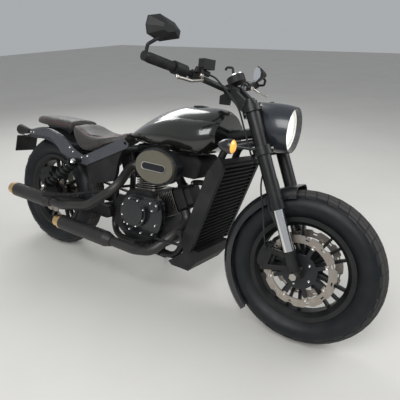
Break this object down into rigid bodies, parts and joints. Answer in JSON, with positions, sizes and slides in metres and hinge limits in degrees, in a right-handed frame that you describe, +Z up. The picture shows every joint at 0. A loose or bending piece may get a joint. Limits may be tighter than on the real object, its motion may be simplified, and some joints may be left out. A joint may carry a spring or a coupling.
{
  "type": "cruiser motorcycle",
  "caption": "Low V-twin cruiser motorcycle parked on its side stand, with upside-down fork, bullet headlight, solo saddle with pillion pad and two stacked side mufflers.",
  "frame": {"origin": "middle of the bounding box on the ground that the parked bike stands on", "axes": "+X forward, +Y to the rider's left, +Z up; the bike leans 13 degrees to its left on the side stand"},
  "size_m": [2.2387, 0.9268, 1.2612],
  "materials": {
    "alloy": "cast aluminium",
    "amber_lens": "amber lens",
    "bright_tube": "hard chrome",
    "bronze_face": "bronze grey metallic paint",
    "clear_lens": "clear lens",
    "dark_grey": "dark grey satin paint",
    "engine_black": "black coated cast aluminium",
    "gloss_black": "gloss black paint",
    "leather_black": "black stitched leather",
    "mirror_glass": "mirror",
    "plastic_black": "textured black plastic",
    "red_lens": "red lens",
    "rubber_black": "black rubber",
    "satin_black": "satin black paint",
    "steel": "brushed steel",
    "tyre_black": "matt tyre rubber"
  },
  "bodies": {
    "chassis": {"air_cleaner_body": "gloss_black", "air_cleaner_face": "bronze_face", "belly_pan": "plastic_black", "clutch_cover": "engine_black", "crankcase": "engine_black", "drive_chain": "steel", "exhaust_lower": "satin_black", "exhaust_upper": "satin_black", "foot_controls": "alloy", "frame": "satin_black", "front_cylinder": "engine_black", "fuel_tank": "gloss_black", "intake": "engine_black", "passenger_pegs": "rubber_black", "pillion_seat": "leather_black", "plate_bracket": "plastic_black", "radiator": "plastic_black", "radiator_covers": "plastic_black", "rear_axle": "steel", "rear_caliper": "satin_black", "rear_cylinder": "engine_black", "rear_fender": "gloss_black", "rear_indicator_lenses": "amber_lens", "rear_indicators": "plastic_black", "rider_seat": "leather_black", "shock_left": "satin_black", "shock_right": "satin_black", "side_panels": "plastic_black", "side_plates": "dark_grey", "stator_cover": "engine_black", "swing_arm": "satin_black", "tail_lamp": "red_lens", "tank_cap": "satin_black"},
    "steering": {"bar_controls": "satin_black", "brake_hoses": "rubber_black", "fork_clamps": "satin_black", "fork_feet": "satin_black", "fork_inner_tubes": "bright_tube", "fork_outer_tubes": "dark_grey", "front_axle": "steel", "front_calipers": "satin_black", "front_fender": "gloss_black", "front_indicator_lenses": "amber_lens", "front_indicators": "plastic_black", "gauge": "plastic_black", "grips": "rubber_black", "handlebar": "satin_black", "headlight_cowl": "gloss_black", "headlight_lens": "clear_lens", "levers": "satin_black", "mirror_glass": "mirror_glass", "mirrors": "plastic_black"},
    "front_wheel": {"front_discs": "steel", "front_tyre": "tyre_black", "front_wheel": "satin_black"},
    "rear_wheel": {"rear_disc": "steel", "rear_sprocket": "steel", "rear_tyre": "tyre_black", "rear_wheel": "satin_black"},
    "side_stand": {"side_stand": "satin_black"}
  },
  "joints": [
    {"name": "steering_turn", "type": "hinge", "parent": "chassis", "child": "steering", "pos_m": [0.76332, -0.16274, 0.29707], "axis": [-0.4226, 0.2039, 0.8831], "range_deg": [-34, 34]},
    {"name": "front_wheel_spin", "type": "hinge", "parent": "steering", "child": "front_wheel", "pos_m": [0.79955, -0.15758, 0.31322], "axis": [-0.0316, 0.9705, -0.2392], "continuous": true},
    {"name": "rear_wheel_spin", "type": "hinge", "parent": "chassis", "child": "rear_wheel", "pos_m": [-0.70543, -0.15826, 0.31646], "axis": [0, 0.9744, -0.225], "continuous": true},
    {"name": "side_stand_fold", "type": "hinge", "parent": "chassis", "child": "side_stand", "pos_m": [-0.07113, -0.04015, 0.19714], "axis": [0.1341, 0.9816, 0.136], "range_deg": [0, 91]}
  ]
}
